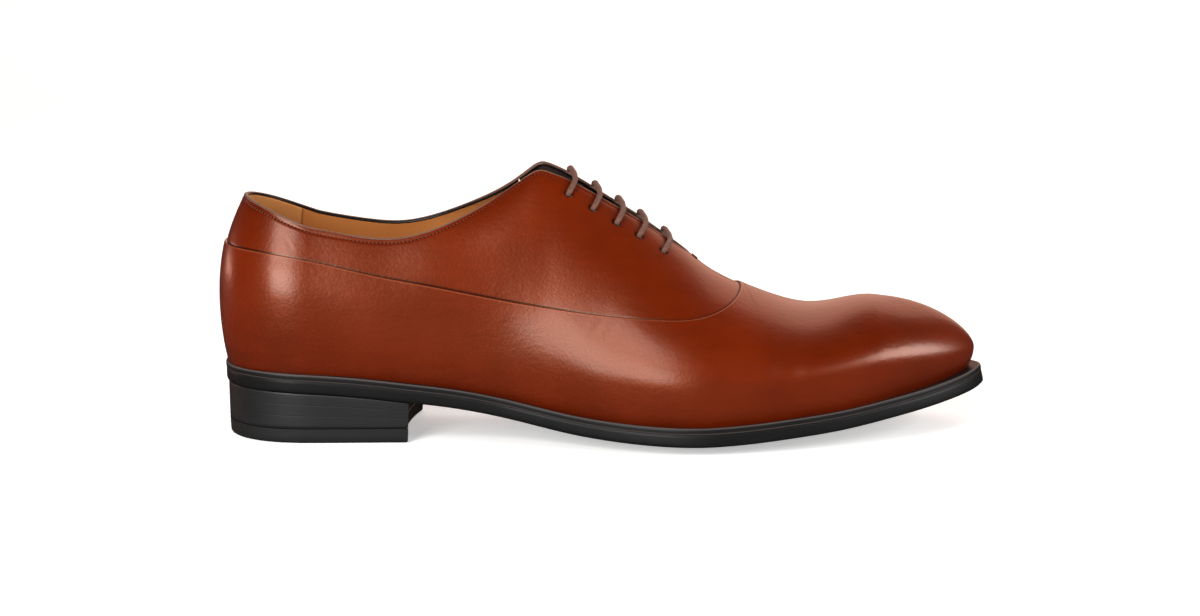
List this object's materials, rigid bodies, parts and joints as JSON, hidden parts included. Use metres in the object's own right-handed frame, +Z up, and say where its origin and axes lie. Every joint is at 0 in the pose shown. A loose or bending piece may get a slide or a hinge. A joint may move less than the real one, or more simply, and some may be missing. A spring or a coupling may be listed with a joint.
{
  "type": "oxford shoe",
  "caption": "Plain leather oxford shoe for the right foot: hollow last-shaped upper with a lapped lower panel, closed lacing, welted black sole and stacked heel.",
  "frame": {"origin": "bottom centre of the shoe's box, on the floor it stands on", "axes": "+X towards the toe, +Y towards the inner (medial) side of the right foot, +Z up"},
  "size_m": [0.308, 0.1048, 0.107],
  "materials": {
    "burnished_calf": "gloss",
    "lining_leather": "matte",
    "sole_leather": "satin",
    "heel_rubber": "satin",
    "lace_cotton": "matte"
  },
  "bodies": {
    "root": {"upper": "burnished_calf", "tongue": "burnished_calf", "insole": "lining_leather", "welt": "sole_leather", "outsole": "sole_leather", "heel": "sole_leather", "heel_top_piece": "heel_rubber", "lace": "lace_cotton"}
  },
  "joints": []
}
